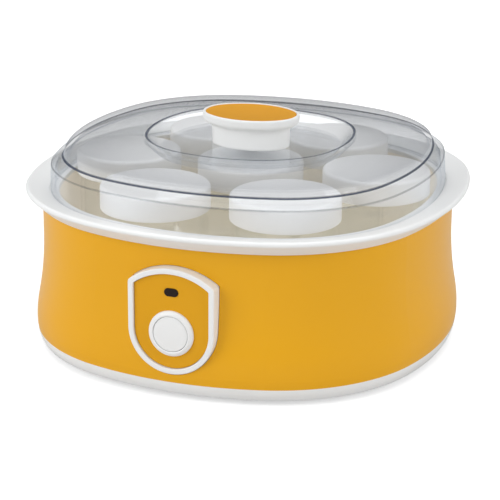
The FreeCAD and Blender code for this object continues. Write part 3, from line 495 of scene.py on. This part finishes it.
def makeKnob():
    rows = np.array(knob["body"])
    rows = softRows(rows[:, :3], rows[:, 3], knob["cornerPoints"])
    inset, z, share = fillRows(rows, knob["step"]).T
    gridPiece("knobGrip", lifted(ovalLoops(inset, share), z), "lid", "white_plastic", "knob_body")
    # The inlay's top is a shallow dish: its height falls by inlayDish * (1 - share^2) towards the middle
    edge, rings = np.array(knob["inlay"]), knob["inlayRings"]
    inlayInset, bottom, top = edge[0, 0], edge[0, 1], edge[1, 1]
    share = np.linspace(1.0, 0.0, rings + 1)[1:]
    dish = np.stack([np.full(rings, inlayInset), top - knob["inlayDish"] * (1 - share ** 2), share,
                     np.full(rings, knob["inlayEase"])], -1)
    rows = np.concatenate([edge, dish, [(inlayInset, bottom, 0.0, 0.0)]])
    inset, z, share = softRows(rows[:, :3], rows[:, 3], knob["inlayCornerPoints"]).T
    gridPiece("knobInlay", lifted(ovalLoops(inset, share), z), "lid", "knob_orange", "knob_cap")


jars = {
    "inRing": 6, "ring": 75.0,          # and one more in the middle
    "firstAngle": 35.0,                 # degrees round from the front, towards +X
    "capZ": 91.0,
    # radius, height over the cap's bottom edge, how far the corner is eased
    "cap": [(28.9, 0.0, 0.4), (31.0, 0.0, 0.6), (31.0, 14.0, 2.6), (0.0, 14.0, 0.0), (0.0, 12.2, 0.0),
            (28.9, 12.2, 0.6)],
    "points": 112, "cornerPoints": 8,
    "step": 2.0,
}


def makeCaps():
    rows = np.array(jars["cap"])
    rows = fillRows(softRows(rows[:, :2], rows[:, 2], jars["cornerPoints"]), jars["step"])
    rows[:, 1] += jars["capZ"]
    apart, ring = 360 / jars["inRing"], jars["ring"]
    turns = [math.radians(jars["firstAngle"] + apart * k) for k in range(jars["inRing"])]
    centres = [(ring * math.sin(turn), -ring * math.cos(turn)) for turn in turns] + [(0.0, 0.0)]
    for k, centre in enumerate(centres, 1):
        cap = spun(rows, centre, jars["points"])
        gridPiece(f"jarCap{k}", cap, f"cap_{k}_body", "cap_white", f"jar_cap_{k}")


panel = {
    "y": -120.25, "z": 40.2,            # where the panel's plane stands
    "halfWidth": 24.9, "length": 60.3, "topRadius": 38.9,
    "topCorner": 1.4,                   # how far the top corners are eased, less cornerLoss for each
    "cornerLoss": 0.2,                  # millimetre of inset, and cornerLeast at least
    "cornerLeast": 0.6,
    "roundPoints": 60, "sidePoints": 10, "archPoints": 40,
    # inset from the outline, height over the plane, how far the corner is eased
    "frame": [(0.0, -6.4, 0.2), (0.0, 2.3, 0.5), (0.5, 2.8, 0.5), (3.1, 2.8, 0.6), (3.1, -0.8, 0.1),
              (4.9, -0.8, 0.2), (4.9, -6.4, 0.2)],
    "frameStep": 1.0,
    "buttonY": -1.5,
    # radius, height over the plane, how far the corner is eased
    "bezel": [(10.15, -3.8, 0.1), (11.6, -3.8, 0.1), (11.6, 1.2, 0.1), (13.0, 1.2, 0.1), (13.0, 2.3, 0.8),
              (11.0, 3.5, 0.8), (10.15, 3.3, 0.4)],
    "bezelStep": 0.8,
    "button": [(0.0, -5.6, 0.0), (11.3, -5.6, 0.2), (11.3, -4.1, 0.2), (10.0, -4.1, 0.1),
               (10.0, 3.0, 0.9)],
    "buttonTop": 3.5, "buttonRings": 13, "buttonEase": 0.1,
    "points": 96,
}


def onPanel(grid):
    # From the panel's own plane, x right, y up, z outwards, to where it stands
    return np.stack([grid[..., 0], panel["y"] - grid[..., 2], panel["z"] + grid[..., 1]], -1)


def shieldLoops(inset):
    # The shield's outline drawn in by inset: a half circle below, upright sides, an eased corner on each
    # side, (1 - t)^2 a + 2t(1 - t) p + t^2 b, and an arched top
    half, top = (panel["halfWidth"] - inset)[:, None], (panel["topRadius"] - inset)[:, None]
    middle = panel["length"] - panel["halfWidth"] - panel["topRadius"]
    ease = np.maximum(panel["topCorner"] - panel["cornerLoss"] * inset, panel["cornerLeast"])[:, None]
    turn = np.arccos(half / top)
    cornerY = middle + top * np.sin(turn)
    t = np.linspace(0, 1, panel["sidePoints"], endpoint=False)[None, :]
    below = math.pi * np.linspace(1, 2, panel["roundPoints"], endpoint=False)[None, :]
    bottom = np.stack([half * np.cos(below), half * np.sin(below)], -1)
    up = np.stack([half + 0 * t, (cornerY - ease) * t], -1)
    archTurn = turn + ease / top
    a, p = np.stack([half, cornerY - ease], -1), np.stack([half, cornerY], -1)
    b = np.stack([top * np.cos(archTurn), middle + top * np.sin(archTurn)], -1)
    s = t[..., None]
    corner = (1 - s) ** 2 * a + 2 * s * (1 - s) * p + s ** 2 * b
    along = np.linspace(0, 1, panel["archPoints"], endpoint=False)[None, :]
    arch = archTurn + (math.pi - 2 * archTurn) * along
    roof = np.stack([top * np.cos(arch), middle + top * np.sin(arch)], -1)
    mirror = np.array([-1.0, 1.0])
    otherCorner = np.concatenate([b, corner[:, :0:-1]], 1) * mirror
    down = np.concatenate([a, up[:, :0:-1]], 1) * mirror
    return np.concatenate([bottom, up, corner, roof, otherCorner, down], 1)


def makePanel():
    rows = np.array(panel["frame"])
    inset, z = fillRows(softRows(rows[:, :2], rows[:, 2]), panel["frameStep"]).T
    shield = onPanel(lifted(shieldLoops(inset), z))
    gridPiece("shieldFrame", shield, "base", "white_plastic", "control_frame")
    middle, count = (0.0, panel["buttonY"]), panel["points"]
    rows = np.array(panel["bezel"])
    rows = fillRows(softRows(rows[:, :2], rows[:, 2]), panel["bezelStep"])
    gridPiece("buttonRing", onPanel(spun(rows, middle, count)), "base", "white_plastic", "button_bezel")
    # The button's face is a low dome: it falls from top to edge as (r / radius)^2
    radius, edge = panel["button"][-1][:2]
    top, rings = panel["buttonTop"], panel["buttonRings"]
    r = np.linspace(radius, 0.0, rings + 1)[1:]
    face = np.stack([r, top - (top - edge) * (r / radius) ** 2, np.full(rings, panel["buttonEase"])], -1)
    rows = np.concatenate([panel["button"], face])
    rows = softRows(rows[:, :2], rows[:, 2])
    gridPiece("pushButton", onPanel(spun(rows, middle, count)), "button", "white_plastic", "power_button")


makeLid()
makeRim()
makeKnob()
makeCaps()
makePanel()
print("pieces made")
